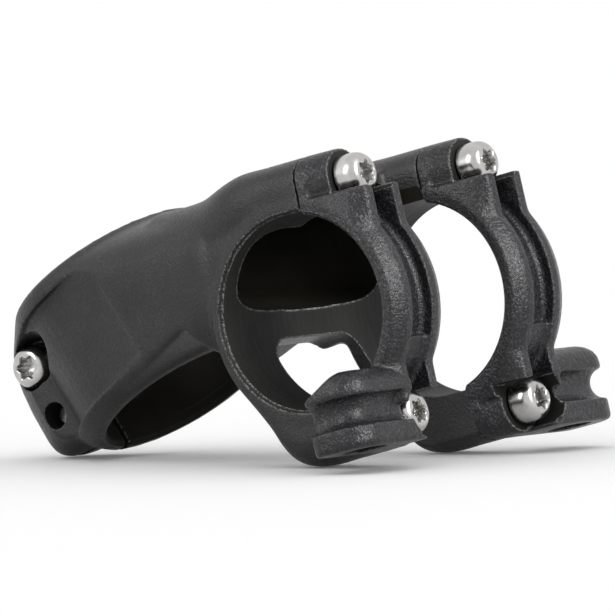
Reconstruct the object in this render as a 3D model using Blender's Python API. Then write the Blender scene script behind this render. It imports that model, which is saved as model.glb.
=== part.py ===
"""Handlebar stem for a 31.8 mm bar and a 28.6 mm steerer.

One hollow body clamps the steerer at the back and carries two arms at the front.
Two separate faceplates close the arms round the bar, each with an accessory lug.

Everything is built in the bar frame: the bar's axis is X (+X is the rider's left),
the faceplate bolts point forward along -Y, and +Z is up through the bosses.
The finished stem is then leaned back so that it stands on its lower bosses and
on the tail of its steerer clamp, with the middle of its base at the origin.
"""
import math

import bmesh
import bpy
from mathutils import Matrix, Vector

MM = 0.001

# Handlebar clamp
BAR_R = 15.9 * MM
HALF_WIDTH = 24.0 * MM
BOLT_X = 17.0 * MM
BOLT_Z = 19.8 * MM
BOSS_R = 4.9 * MM
END_HALF = 6.95 * MM     # the arms' ends are wider than they are tall
END_POWER = 2.5
SEAM = 4.0 * MM            # the body's clamp faces, ahead of the bar's axis
SEAM_GAP = 0.5 * MM
SEAT = 9.6 * MM            # where a faceplate bolt's head bears, ahead of the bar's axis

# Steerer clamp
STEERER_R = 14.3 * MM
BARREL_R = 18.65 * MM
CLAMP_H = 25.3 * MM
STEERER_BACK = 43.7 * MM   # bar axis to the middle of the steerer clamp's bottom face
STEERER_DROP = 5.4 * MM
STEERER_LEAN = math.radians(21.9)
SLIT = 1.5 * MM
NOSE_CENTRE = 15.3 * MM
POCKET_LOW = 3.0 * MM
POCKET_HIGH = 22.2 * MM
EAR_HALF = 9.5 * MM
PINCH_BACK = 17.8 * MM
PINCH_HEIGHTS = (8.8 * MM, 18.4 * MM)
PINCH_SEAT = 5.2 * MM

# The neck's underside keeps level with the clamp's bottom as far forward as this
NECK_LOW = 0.7 * MM
NECK_STEP = -20.3 * MM

# Hollow extension
CAVITY_FLOOR = 2.6 * MM
WINDOW_HALF = 11.7 * MM
WINDOW_TOP = -1.8 * MM

# Faceplates
CAP_SIDE_R = 18.0 * MM
CREST_R = 19.4 * MM
CREST_FRONT = 16.3 * MM
CAP_HALF = 7.0 * MM
RIB_OUT = 4.7 * MM
RIB_IN = 2.7 * MM
CHANNEL_R = 17.2 * MM
LEDGE_R = 18.6 * MM
LEDGE_ANGLE = math.radians(-26)
RIB_TOP_Z = 17.4 * MM
RIB_LOW_Z = -16.4 * MM
SCREW_POCKET_R = 4.5 * MM

# Accessory lugs
LUG_END = 36.4 * MM
LUG_FRONT = 15.6 * MM
LUG_BOTTOM = -24.7 * MM
LUG_FRONT_CORNER = 5.0 * MM
LUG_REAR_CORNER = 2.9 * MM
GROOVE_Z = -18.7 * MM
GROOVE_R = 2.5 * MM
GROOVE_DEPTH = 2.1 * MM
LUG_HOLE_X = 28.6 * MM
LUG_HOLE_Y = -9.9 * MM
LUG_HOLE_R = 2.2 * MM
LUG_RECESS_R = 3.7 * MM
LUG_RECESS_DEPTH = 1.8 * MM

# M4 screws with a tall domed head and a six-lobe socket
SCREW_R = 2.0 * MM
HEAD_R = 3.6 * MM
HEAD_H = 4.3 * MM
SOCKET_R = 1.95 * MM
SOCKET_DEPTH = 2.2 * MM
HOLE_R = 2.3 * MM
CAP_SCREW_LENGTH = 16.0 * MM
CAP_HOLE_END = 7.2 * MM
PINCH_SCREW_LENGTH = 11.5 * MM

# How far the stem leans back when it stands on a table
REST_LEAN = math.radians(12.99)

SEGMENTS = 72

COLORS = {
    "body": ((0.012, 0.012, 0.014), 0.42, 0.0),
    "faceplate": ((0.012, 0.012, 0.014), 0.38, 0.0),
    "screw": ((0.62, 0.61, 0.59), 0.16, 1.0),
}

STEERER_FRAME = (
    Matrix.Translation((0, STEERER_BACK, -STEERER_DROP)) @ Matrix.Rotation(-STEERER_LEAN, 4, "X")
)


# ---------------------------------------------------------------- basic shapes

def clear_scene():
    for item in list(bpy.data.objects):
        bpy.data.objects.remove(item, do_unlink=True)


def make_material(name):
    color, roughness, metallic = COLORS[name]
    material = bpy.data.materials.new(name)
    material.use_nodes = True
    shader = material.node_tree.nodes["Principled BSDF"]
    shader.inputs["Base Color"].default_value = (*color, 1.0)
    shader.inputs["Roughness"].default_value = roughness
    shader.inputs["Metallic"].default_value = metallic
    return material


def add_object(name, mesh):
    item = bpy.data.objects.new(name, mesh)
    bpy.context.scene.collection.objects.link(item)
    return item


def loft(name, rings):
    """A closed solid through rings that all have the same number of points."""
    mesh = bmesh.new()
    rows = [[mesh.verts.new(point) for point in ring] for ring in rings]
    count = len(rows[0])
    for low, high in zip(rows, rows[1:]):
        for i in range(count):
            j = (i + 1) % count
            mesh.faces.new((low[i], low[j], high[j], high[i]))
    mesh.faces.new(list(reversed(rows[0])))
    mesh.faces.new(rows[-1])
    bmesh.ops.recalc_face_normals(mesh, faces=mesh.faces)
    if mesh.calc_volume(signed=True) < 0:
        bmesh.ops.reverse_faces(mesh, faces=mesh.faces)
    bmesh.ops.triangulate(mesh, faces=[face for face in mesh.faces if len(face.verts) == 4])
    data = bpy.data.meshes.new(name)
    mesh.to_mesh(data)
    mesh.free()
    return add_object(name, data)


def prism(name, outline, low, high, axis="X"):
    """An outline of (u, v) pairs pushed from low to high along an axis."""
    place = {
        "X": lambda u, v, w: Vector((w, u, v)),
        "Y": lambda u, v, w: Vector((u, w, v)),
        "Z": lambda u, v, w: Vector((u, v, w)),
    }[axis]
    return loft(name, [[place(u, v, w) for u, v in outline] for w in (low, high)])


def box(name, low, high):
    corners = [(low[0], low[1]), (high[0], low[1]), (high[0], high[1]), (low[0], high[1])]
    return prism(name, corners, low[2], high[2], "Z")


def circle(radius, count=SEGMENTS, centre=(0.0, 0.0), turn=0.0):
    step = 2 * math.pi / count
    return [
        (centre[0] + radius * math.cos(turn + i * step), centre[1] + radius * math.sin(turn + i * step))
        for i in range(count)
    ]


def rod(name, radius, low, high, axis, centre=(0.0, 0.0), count=SEGMENTS):
    return prism(name, circle(radius, count, centre), low, high, axis)


def arc(centre, radius, start, end, count):
    """Points along an arc, with its angles in degrees."""
    angles = [math.radians(start + (end - start) * i / (count - 1)) for i in range(count)]
    return [(centre[0] + radius * math.cos(a), centre[1] + radius * math.sin(a)) for a in angles]


def superellipse(half_x, half_z, middle_z, y, power=2.6, count=32, middle_x=0.0):
    """A rounded oblong ring in a plane of constant y."""
    ring = []
    for i in range(count):
        angle = 2 * math.pi * i / count
        c = math.cos(angle)
        s = math.sin(angle)
        x = middle_x + half_x * math.copysign(abs(c) ** (2 / power), c)
        z = middle_z + half_z * math.copysign(abs(s) ** (2 / power), s)
        ring.append(Vector((x, y, z)))
    return ring


def move_mesh(item, matrix):
    item.data.transform(matrix)
    return item


def apply_boolean(item, other, operation):
    modifier = item.modifiers.new(operation.lower(), "BOOLEAN")
    modifier.operation = operation
    modifier.solver = "EXACT"
    modifier.object = other
    graph = bpy.context.evaluated_depsgraph_get()
    mesh = bpy.data.meshes.new_from_object(item.evaluated_get(graph))
    item.modifiers.clear()
    old = item.data
    item.data = mesh
    bpy.data.meshes.remove(old)
    bpy.data.objects.remove(other, do_unlink=True)


def unite(item, others):
    for other in others:
        apply_boolean(item, other, "UNION")
    return item


def cut(item, cutters):
    for cutter in cutters:
        apply_boolean(item, cutter, "DIFFERENCE")
    return item


def finish(item, name, material, angle=35):
    """Name a part, merge stray points, shade it and give it its material."""
    mesh = bmesh.new()
    mesh.from_mesh(item.data)
    bmesh.ops.remove_doubles(mesh, verts=mesh.verts, dist=0.01 * MM)
    bmesh.ops.dissolve_degenerate(mesh, edges=mesh.edges, dist=0.005 * MM)
    mesh.to_mesh(item.data)
    mesh.free()
    item.name = name
    item.data.name = name
    item.data.materials.clear()
    item.data.materials.append(material)
    item.data.shade_smooth()
    item.data.set_sharp_from_angle(angle=math.radians(angle))
    return item


# ---------------------------------------------------------------- steerer clamp

def teardrop(radius, nose_centre, nose_radius, count=36):
    """A barrel's outline drawn out to a round nose, as (across, back) pairs."""
    spread = math.acos((radius - nose_radius) / nose_centre)
    points = []
    nose_count = count // 3
    for i in range(nose_count + 1):
        angle = -spread + 2 * spread * i / nose_count
        points.append((nose_radius * math.sin(angle), nose_centre + nose_radius * math.cos(angle)))
    barrel_count = count - nose_count
    for i in range(barrel_count + 1):
        angle = spread + (2 * math.pi - 2 * spread) * i / barrel_count
        points.append((radius * math.sin(angle), radius * math.cos(angle)))
    return points


def steerer_clamp():
    """The split barrel with its pinch nose, rounded at both ends."""
    levels = [
        (0.0, 15.9, 0.9), (0.5, 16.7, 1.7), (1.0, 17.2, 2.2), (1.9, 18.0, 3.0), (2.8, 18.5, 3.5),
        (3.5, 18.65, 5.6), (4.0, 18.65, 8.0), (4.6, 18.65, 9.4), (5.4, 18.65, 10.1), (7.0, 18.65, 10.4),
        (13.0, 18.65, 10.3), (17.2, 18.65, 9.9), (20.4, 18.65, 9.3), (22.6, 18.65, 8.5),
        (24.2, 18.5, 7.5), (25.3, 17.8, 6.3),
    ]
    rings = []
    for height, radius, nose in levels:
        outline = teardrop(radius * MM, NOSE_CENTRE, nose * MM)
        rings.append([Vector((x, y, height * MM)) for x, y in outline])
    return move_mesh(loft("clamp", rings), STEERER_FRAME)


def pocket_outline(side):
    """The scallop beside the pinch nose: a recessed barrel, then the flat of the ear."""
    recess_r = 17.2 * MM
    front = [(19.9, -9.5), (19.0, -6.2), (18.2, -3.2), (17.6, -0.6)]
    inner = [(x * MM, y * MM) for x, y in front]
    inner += [(x, y) for y, x in arc((0, 0), recess_r, 84, 36, 9)]
    corner = 2.2 * MM
    bend_y = math.sqrt((recess_r + corner) ** 2 - (EAR_HALF + corner) ** 2)
    turn = math.degrees(math.atan2(EAR_HALF + corner, bend_y))
    inner = [point for point in inner if point[1] < bend_y - corner * math.cos(math.radians(turn)) + 0.01]
    inner += [(x, y) for y, x in arc((bend_y, EAR_HALF + corner), corner, 180 + turn, 270, 6)]
    outer = [(EAR_HALF, 30 * MM), (30 * MM, 30 * MM), (30 * MM, inner[0][1] - 3.0 * MM)]
    return [(side * x, y) for x, y in inner + outer]


def pinch_cutters():
    """Everything that is cut out of the steerer clamp, in the steerer's frame."""
    tall = CLAMP_H + 10 * MM
    bore = rod("bore", STEERER_R, -tall, tall, "Z", count=56)
    relief_r = STEERER_R + 0.9 * MM
    relief = rod("relief", relief_r, 2.2 * MM, CLAMP_H - 2.2 * MM, "Z", (0, -1.1 * MM), 48)
    slit = box("slit", (-SLIT / 2, 0, -tall), (SLIT / 2, 40 * MM, tall))
    cutters = [bore, relief, slit]
    for side in (-1, 1):
        cutters.append(prism("pocket", pocket_outline(side), POCKET_LOW, POCKET_HIGH, "Z"))
    for height, side in zip(PINCH_HEIGHTS, (1, -1)):
        centre = (PINCH_BACK, height)
        cutters.append(rod("pinch_hole", HOLE_R, -40 * MM, 40 * MM, "X", centre, 20))
        ends = sorted((side * PINCH_SEAT, side * 40 * MM))
        cutters.append(rod("counterbore", HEAD_R + 0.4 * MM, ends[0], ends[1], "X", centre, 28))
    for cutter in cutters:
        move_mesh(cutter, STEERER_FRAME)
    return cutters


# ---------------------------------------------------------------- extension and arms

def neck():
    """The hull that carries the barrel's sides forward to the arms."""
    points = []
    for height in (3.2 * MM, CLAMP_H - 1.2 * MM):
        points += [STEERER_FRAME @ Vector((x, y, height)) for x, y in circle(BARREL_R - 0.25 * MM, 40)]
    for back, half, low, high in ((22.0, 22.4, -1.6, 22.9), (17.5, 23.4, -3.2, 22.4)):
        points += superellipse(half * MM, (high - low) / 2 * MM, (high + low) / 2 * MM, back * MM, 3.2)
    mesh = bmesh.new()
    for point in points:
        mesh.verts.new(point)
    hull = bmesh.ops.convex_hull(mesh, input=mesh.verts)
    spare = hull["geom_interior"] + hull["geom_unused"]
    loose = [item for item in spare if isinstance(item, bmesh.types.BMVert)]
    bmesh.ops.delete(mesh, geom=list(set(loose)), context="VERTS")
    bmesh.ops.recalc_face_normals(mesh, faces=mesh.faces)
    bmesh.ops.triangulate(mesh, faces=[face for face in mesh.faces if len(face.verts) > 3])
    data = bpy.data.meshes.new("neck")
    mesh.to_mesh(data)
    mesh.free()
    below = box("below", (-60 * MM, NECK_STEP, -60 * MM), (60 * MM, 60 * MM, NECK_LOW))
    return cut(add_object("neck", data), [move_mesh(below, STEERER_FRAME)])


def deck():
    """The front of the extension, whose underside rises over the bar."""
    sections = [
        (24.0, 21.6, -1.4, 23.2), (19.0, 22.8, -2.6, 22.5), (15.0, 23.4, -4.2, 22.6),
        (11.0, 23.4, 1.0, 23.0), (6.5, 21.0, 12.0, 22.8), (2.5, 18.0, 17.0, 22.4),
    ]
    rings = []
    for back, half, low, high in sections:
        rings.append(superellipse(half * MM, (high - low) / 2 * MM, (high + low) / 2 * MM, back * MM, 2.9))
    return loft("deck", rings)


def clamp_ring(side):
    """One arm's ring round the bar: a flat rim outside, and a crest over the bolts."""
    profile = [
        (HALF_WIDTH, BAR_R - 2 * MM),
        (HALF_WIDTH, CAP_SIDE_R - 0.3 * MM),
        (HALF_WIDTH - 0.6 * MM, CAP_SIDE_R + 0.2 * MM),
        (BOLT_X + 3.6 * MM, CREST_R + 0.2 * MM),
        (BOLT_X - 3.6 * MM, CREST_R + 0.2 * MM),
        (WINDOW_HALF - 0.3 * MM, CAP_SIDE_R - 0.4 * MM),
        (WINDOW_HALF - 0.3 * MM, BAR_R - 2 * MM),
    ]
    rings = []
    steps = 26
    for i in range(steps + 1):
        angle = math.radians(66 + 228 * i / steps)
        direction = Vector((0, -math.cos(angle), math.sin(angle)))
        rings.append([Vector((side * x, 0, 0)) + direction * r for x, r in profile])
    return loft("ring", rings)


def lower_arm(side):
    """The forged arm that follows the bar down and swells into the lower boss."""
    sections = [
        (172, 18.2, 6.6, 4.0), (192, 18.4, 6.8, 4.0), (210, 18.8, 6.9, 4.0), (224, 19.5, 6.9, 3.6),
        (236, 21.2, 6.9, 3.4), (243, 23.4, 6.9, 3.2), (249, 25.0, 6.9, 3.0), (255, 25.4, 6.9, 2.8),
        (262, 25.0, 6.9, 2.7), (270, 24.6, 6.9, 2.6),
    ]
    inner = 13.5 * MM
    rings = []
    for degrees, outer, half_x, power in sections:
        angle = math.radians(degrees)
        direction = Vector((0, -math.cos(angle), math.sin(angle)))
        middle = Vector((side * BOLT_X, 0, 0)) + direction * ((outer * MM + inner) / 2)
        flat = superellipse(half_x * MM, (outer * MM - inner) / 2, 0.0, 0.0, power, 24)
        rings.append([middle + Vector((point.x, 0, 0)) + direction * point.z for point in flat])
    return loft("lower_arm", rings)


def arm_end(side, level):
    """The rounded block at the end of an arm, which takes the thread of one bolt."""
    rings = []
    for back in (6.0 * MM, -SEAM - 1 * MM):
        rings.append(superellipse(END_HALF, BOSS_R, level * BOLT_Z, back, END_POWER, 24, side * BOLT_X))
    return loft("arm_end", rings)


def upper_arm(side):
    """The ridge that runs from the extension's shoulder forward into the upper boss."""
    sections = [
        (33.0, 9.0, 16.0, 8.0, 7.4),
        (26.0, 11.5, 16.0, 7.8, 6.9),
        (19.0, 14.2, 16.4, 7.4, 6.5),
        (13.0, 16.4, 18.1, 7.0, 6.0),
        (9.0, 17.0, 19.2, 7.0, 5.6),
        (5.0, 17.0, 19.7, 7.0, 5.05),
    ]
    rings = []
    for back, x, z, half_x, half_z in sections:
        ring = superellipse(half_x * MM, half_z * MM, z * MM, back * MM, 2.4, 24, side * x * MM)
        rings.append(ring)
    return loft("upper_arm", rings)


def web(side, level):
    """Fills between a boss and the bar's bore, up to the clamp face."""
    low, high = sorted((level * 13.0 * MM, level * BOLT_Z))
    front = -SEAM - 0.8 * MM
    half = END_HALF - 0.1 * MM
    return box("web", (side * BOLT_X - half, front, low), (side * BOLT_X + half, 6.0 * MM, high))


def window_outline():
    """The gap between the lower arms, with round upper corners."""
    corner = 4.0 * MM
    top = WINDOW_TOP
    half = WINDOW_HALF
    points = arc((half - corner, top - corner), corner, 0, 90, 8)
    points += arc((-half + corner, top - corner), corner, 90, 180, 8)
    return points + [(-half, -40 * MM), (half, -40 * MM)]


def cavity():
    """The hollow behind the bar, which narrows towards the steerer's bore."""
    sections = [
        (5.8, 20.3, CAVITY_FLOOR / MM, 15.4),
        (12.0, 20.3, CAVITY_FLOOR / MM, 17.8),
        (18.0, 19.0, 3.4, 18.8),
        (24.0, 16.4, 5.2, 19.2),
        (30.0, 13.0, 7.6, 19.0),
        (38.0, 9.0, 10.0, 18.4),
    ]
    rings = []
    for back, half, low, high in sections:
        rings.append(superellipse(half * MM, (high - low) / 2 * MM, (high + low) / 2 * MM, back * MM, 4.5))
    return loft("cavity", rings)


def centre_cavity():
    """The open middle between the upper arms, under the deck."""
    sections = [(-10.0, 10.6, 2.4, 20.6), (16.0, 10.6, 2.8, 20.8), (25.0, 9.0, 6.4, 19.8)]
    rings = []
    for back, half, low, high in sections:
        rings.append(superellipse(half * MM, (high - low) / 2 * MM, (high + low) / 2 * MM, back * MM, 5.0))
    return loft("centre_cavity", rings)


def saddle_outline():
    """The bar's half round seat, which runs straight forward to the clamp face."""
    return arc((0, 0), BAR_R, -90, 90, 40) + [(-30 * MM, BAR_R), (-30 * MM, -BAR_R)]


def body_cutters():
    """Everything that is cut out of the front of the body, in the bar frame."""
    wide = 60 * MM
    cutters = [
        cavity(),
        centre_cavity(),
        prism("saddle", saddle_outline(), -wide, wide, "X"),
        box("front", (-wide, -40 * MM, -wide), (wide, -SEAM, wide)),
        prism("window", window_outline(), -20 * MM, 27 * MM, "Y"),
    ]
    for side in (-1, 1):
        for level in (-1, 1):
            centre = (side * BOLT_X, level * BOLT_Z)
            cutters.append(rod("bolt_hole", HOLE_R, -20 * MM, CAP_HOLE_END, "Y", centre, 20))
    return cutters


def make_body(material):
    body = steerer_clamp()
    pieces = [neck(), deck()]
    for side in (-1, 1):
        pieces += [clamp_ring(side), lower_arm(side), upper_arm(side)]
        for level in (-1, 1):
            pieces += [arm_end(side, level), web(side, level)]
    unite(body, pieces)
    cut(body, body_cutters() + pinch_cutters())
    return finish(body, "stem_body", material)


# ---------------------------------------------------------------- faceplates

def crest_radius(angle):
    """The ribs follow the bar, then run straight on towards the bolt heads."""
    front = CREST_FRONT if angle > 0 else CREST_FRONT - 0.9 * MM
    return max(CREST_R, front / max(math.cos(angle), 0.3))


def channel_radius(angle):
    return CHANNEL_R if angle > LEDGE_ANGLE else LEDGE_R


def cap_rings(channel):
    """A sweep round the bar: the whole rib section, or the channel that is cut from it."""
    if channel:
        steps = [-58, -50, -40, -33, -26.01, -25.99, -18, -9, 0, 9, 18, 27, 36, 45, 54, 62]
    else:
        steps = range(-84, 85, 6)
    rings = []
    for degrees in steps:
        angle = math.radians(degrees)
        direction = Vector((0, -math.cos(angle), math.sin(angle)))
        crest = min(crest_radius(angle), 26 * MM)
        if channel:
            floor = channel_radius(angle)
            profile = [
                (-RIB_IN, crest + 3 * MM), (-RIB_IN, floor + 0.6 * MM), (-RIB_IN + 0.6 * MM, floor),
                (RIB_IN - 0.6 * MM, floor), (RIB_IN, floor + 0.6 * MM), (RIB_IN, crest + 3 * MM),
            ]
        else:
            side = CAP_SIDE_R
            profile = [
                (-CAP_HALF, BAR_R - 2 * MM), (-CAP_HALF, side), (-RIB_OUT, crest - 0.2 * MM),
                (-RIB_OUT + 0.4 * MM, crest), (RIB_OUT - 0.4 * MM, crest), (RIB_OUT, crest - 0.2 * MM),
                (CAP_HALF, side), (CAP_HALF, BAR_R - 2 * MM),
            ]
        rings.append([Vector((x, 0, 0)) + direction * r for x, r in profile])
    return rings


def lug_outline(inset):
    """The lug in plan, as (outboard, back) pairs, with both outer corners round."""
    end = LUG_END - inset - BOLT_X
    front = -LUG_FRONT + inset
    back = -(SEAM + SEAM_GAP)
    large = LUG_FRONT_CORNER - 0.8 * inset
    small = LUG_REAR_CORNER - 0.4 * inset
    points = [(1.0 * MM, back), (1.0 * MM, front)]
    points += arc((end - large, front + large), large, 270, 360, 7)
    points += arc((end - small, back - small), small, 0, 90, 4)
    return points


def lug(side):
    """The lug's stack of outlines: two round-edged ridges with a half-round groove between."""
    levels = [(LUG_BOTTOM, 0.7 * MM), (LUG_BOTTOM + 0.25 * MM, 0.2 * MM), (LUG_BOTTOM + 0.8 * MM, 0.0)]
    for degrees in (-90, -60, -30, 0, 30, 60, 90):
        a = math.radians(degrees)
        levels.append((GROOVE_Z + GROOVE_R * math.sin(a), GROOVE_DEPTH * math.cos(a) + 0.02 * MM))
    levels += [
        (-15.2 * MM, 0.0), (-14.2 * MM, 0.15 * MM), (-13.2 * MM, 0.7 * MM), (-12.4 * MM, 1.7 * MM),
        (-11.9 * MM, 3.0 * MM),
    ]
    rings = []
    for z, inset in levels:
        rings.append([Vector((side * x, y, z)) for x, y in lug_outline(inset)])
    return loft("lug", rings)


def cap_cutters(side):
    """Clears the bar, the clamp face, the bolt heads' pockets and the lug's hole."""
    far = 60 * MM
    face = -(SEAM + SEAM_GAP)
    cutters = [
        loft("channel", cap_rings(True)),
        rod("bar", BAR_R, -far, far, "X", count=72),
        box("behind", (-far, face, -far), (far, far, far)),
        box("upper_seat", (-far, -far, RIB_TOP_Z), (far, 0.1 * MM - SEAT, far)),
        rod("upper_pocket", SCREW_POCKET_R - 0.3 * MM, -far, 0.1 * MM - SEAT, "Y", (0, BOLT_Z), 32),
        rod("lower_pocket", SCREW_POCKET_R, -far, 0.1 * MM - SEAT, "Y", (0, -BOLT_Z), 32),
    ]
    inner, outer = sorted((-side * far, side * 0.4 * MM))
    cutters.append(box("lower_seat", (inner, -far, -far), (outer, 0.1 * MM - SEAT, RIB_LOW_Z)))
    for level in (-1, 1):
        cutters.append(rod("bolt_hole", HOLE_R, -far, far, "Y", (0, level * BOLT_Z), 20))
    centre = (side * (LUG_HOLE_X - BOLT_X), LUG_HOLE_Y)
    cutters.append(rod("lug_hole", LUG_HOLE_R, -far, 0, "Z", centre, 24))
    cutters.append(rod("lug_recess", LUG_RECESS_R, -far, LUG_BOTTOM + LUG_RECESS_DEPTH, "Z", centre, 32))
    return cutters


def cap_boss(level):
    """The block a faceplate bolt passes through: it matches the arm, then narrows to the head."""
    face = -(SEAM + SEAM_GAP)
    sections = [
        (face + 0.5 * MM, END_HALF, END_POWER), (face, END_HALF, END_POWER),
        (face - 2.0 * MM, 6.4 * MM, 2.3), (face - 4.0 * MM, 5.4 * MM, 2.1), (-SEAT, BOSS_R, 2.0),
    ]
    rings = []
    for y, half, power in sections:
        rings.append(superellipse(half, BOSS_R, level * BOLT_Z, y, power, 28))
    return loft("cap_boss", rings)


def make_faceplate(name, side, material):
    """Built about its own middle plane, then moved out to its arm."""
    cap = loft("cap", cap_rings(False))
    far = 60 * MM
    cut(cap, [box("top", (-far, -far, RIB_TOP_Z), (far, far, far))])
    cut(cap, [box("bottom", (-far, -far, -far), (far, far, 1.4 * MM - BOLT_Z))])
    face = -(SEAM + SEAM_GAP)
    pieces = [cap_boss(-1), cap_boss(1), lug(side)]
    for level in (-1, 1):
        low, high = sorted((level * 12.6 * MM, level * BOLT_Z))
        pieces.append(box("web", (-4.85 * MM, 0.05 * MM - SEAT, low), (4.85 * MM, face + 0.4 * MM, high)))
        pieces.append(box("heel", (-6.85 * MM, face - 1.5 * MM, low), (6.85 * MM, face + 0.3 * MM, high)))
    unite(cap, pieces)
    cut(cap, cap_cutters(side))
    move_mesh(cap, Matrix.Translation((side * BOLT_X, 0, 0)))
    return finish(cap, name, material)


# ---------------------------------------------------------------- screws

def six_lobe(radius, count=18):
    """A rounded six-pointed star."""
    points = []
    for i in range(count):
        angle = 2 * math.pi * i / count
        r = radius * (0.86 + 0.14 * math.cos(6 * angle))
        points.append((r * math.cos(angle), r * math.sin(angle)))
    return points


def make_screw(name, length, material):
    """A screw along +Z, with its head's seat at the origin and its tip below."""
    profile = [
        (SCREW_R - 0.5 * MM, -length),
        (SCREW_R, -length + 0.5 * MM),
        (SCREW_R, 0.0),
        (HEAD_R, 0.0),
        (HEAD_R, HEAD_H * 0.56),
    ]
    for i in range(1, 4):
        angle = math.radians(90 * i / 3)
        dome_r = HEAD_R - 1.5 * MM * (1 - math.cos(angle))
        profile.append((dome_r, HEAD_H * 0.56 + (HEAD_H * 0.44) * math.sin(angle)))
    rings = [[Vector((x, y, z)) for x, y in circle(r, 20)] for r, z in profile]
    screw = loft("screw", rings)
    socket = prism("socket", six_lobe(SOCKET_R), HEAD_H - SOCKET_DEPTH, HEAD_H + 5 * MM, "Z")
    cut(screw, [socket])
    return finish(screw, name, material)


def place(item, parent, location, axis):
    """Put a screw on its axis: its +Z turns to point along the axis."""
    item.parent = parent
    item.rotation_mode = "QUATERNION"
    item.rotation_quaternion = Vector((0, 0, 1)).rotation_difference(Vector(axis))
    item.location = location


# ---------------------------------------------------------------- assembly

def add_empty(name, parent=None, location=(0, 0, 0), lean=0.0):
    item = add_object(name, None)
    item.parent = parent
    item.location = location
    item.rotation_euler = (-lean, 0, 0)
    return item


def stand_on_table(datum):
    """Drop the stem to the table and put the middle of its base at the origin."""
    bpy.context.view_layer.update()
    corners = []
    for item in bpy.data.objects:
        if item.type == "MESH":
            corners += [item.matrix_world @ vertex.co for vertex in item.data.vertices]
    low = [min(c[k] for c in corners) for k in range(3)]
    high = [max(c[k] for c in corners) for k in range(3)]
    datum.location = (-(low[0] + high[0]) / 2, -(low[1] + high[1]) / 2, -low[2])
    bpy.context.view_layer.update()


def main():
    clear_scene()
    body_material = make_material("body")
    faceplate_material = make_material("faceplate")
    screw_material = make_material("screw")

    datum = add_empty("bar_datum", lean=REST_LEAN)
    steerer = add_empty("steerer_datum", datum, (0, STEERER_BACK, -STEERER_DROP), STEERER_LEAN)

    make_body(body_material).parent = datum

    for word, side in (("right", -1), ("left", 1)):
        make_faceplate("faceplate_" + word, side, faceplate_material).parent = datum
        for place_word, level in (("upper", 1), ("lower", -1)):
            name = "faceplate_bolt_" + place_word + "_" + word
            screw = make_screw(name, CAP_SCREW_LENGTH, screw_material)
            seat = (side * BOLT_X, -SEAT - 0.1 * MM, level * BOLT_Z)
            place(screw, datum, seat, (0, -1, 0))

    for word, height, side in zip(("lower", "upper"), PINCH_HEIGHTS, (1, -1)):
        screw = make_screw("pinch_bolt_" + word, PINCH_SCREW_LENGTH, screw_material)
        seat = (side * (PINCH_SEAT + 0.1 * MM), PINCH_BACK, height)
        place(screw, steerer, seat, (side, 0, 0))

    stand_on_table(datum)


main()
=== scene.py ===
"""Looks of the handlebar stem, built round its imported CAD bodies.

Each piece is made again at a finer scale in the bar frame: the forged solids are joined
and blended first, then the machined faces and holes are cut. LEAN_FRAME then sets every
piece down where the CAD body stands.
"""
import math

import bmesh
import bpy
from mathutils import Matrix, Vector

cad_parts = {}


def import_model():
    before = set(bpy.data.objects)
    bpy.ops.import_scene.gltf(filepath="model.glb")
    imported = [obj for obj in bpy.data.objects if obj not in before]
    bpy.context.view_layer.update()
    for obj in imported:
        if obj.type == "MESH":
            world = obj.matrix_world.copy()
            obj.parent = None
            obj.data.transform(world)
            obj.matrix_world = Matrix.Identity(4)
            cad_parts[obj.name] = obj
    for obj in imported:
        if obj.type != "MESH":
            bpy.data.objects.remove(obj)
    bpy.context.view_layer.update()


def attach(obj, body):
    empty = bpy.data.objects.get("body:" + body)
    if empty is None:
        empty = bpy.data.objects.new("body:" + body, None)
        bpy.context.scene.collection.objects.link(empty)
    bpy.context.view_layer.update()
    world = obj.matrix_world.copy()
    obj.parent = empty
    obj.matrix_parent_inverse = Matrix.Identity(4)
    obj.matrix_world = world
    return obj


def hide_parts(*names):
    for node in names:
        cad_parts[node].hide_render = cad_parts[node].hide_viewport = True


MM = 0.001

# Handlebar clamp
BAR_R = 15.9 * MM
HALF_WIDTH = 24.0 * MM
BOLT_X = 17.0 * MM
BOLT_Z = 19.8 * MM
BOSS_R = 4.9 * MM
END_HALF = 6.95 * MM       # the arms' ends are wider than they are tall
END_POWER = 2.5
SEAM = 4.0 * MM            # the body's clamp faces, ahead of the bar's axis
SEAM_GAP = 0.5 * MM
SEAT = 9.6 * MM            # where a faceplate bolt's head bears, ahead of the bar's axis
CAP_FACE = -(SEAM + SEAM_GAP)

# Steerer clamp
STEERER_R = 14.3 * MM
BARREL_R = 18.65 * MM
CLAMP_H = 25.3 * MM
STEERER_BACK = 43.7 * MM   # bar axis to the middle of the steerer clamp's bottom face
STEERER_DROP = 5.4 * MM
STEERER_LEAN = math.radians(21.9)
SLIT = 1.5 * MM
NOSE_CENTRE = 15.3 * MM
POCKET_LOW = 3.0 * MM
POCKET_HIGH = 22.2 * MM
EAR_HALF = 9.5 * MM
PINCH_BACK = 17.8 * MM
PINCH_HEIGHTS = (8.8 * MM, 18.4 * MM)
PINCH_SEAT = 5.2 * MM

# The neck's underside keeps level with the clamp's bottom as far forward as this
NECK_LOW = 0.7 * MM
NECK_STEP = -20.3 * MM

# Hollow extension
CAVITY_FLOOR = 2.6 * MM
WINDOW_HALF = 11.7 * MM
WINDOW_TOP = -1.8 * MM

# Faceplates
CAP_SIDE_R = 18.0 * MM
CREST_R = 19.4 * MM
CREST_FRONT = 16.3 * MM
CAP_HALF = 7.0 * MM
RIB_OUT = 4.7 * MM
RIB_IN = 2.7 * MM
CHANNEL_R = 17.2 * MM
LEDGE_R = 18.6 * MM
LEDGE_ANGLE = math.radians(-26)
RIB_TOP_Z = 17.4 * MM
RIB_LOW_Z = -16.4 * MM
SCREW_POCKET_R = 4.5 * MM

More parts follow.
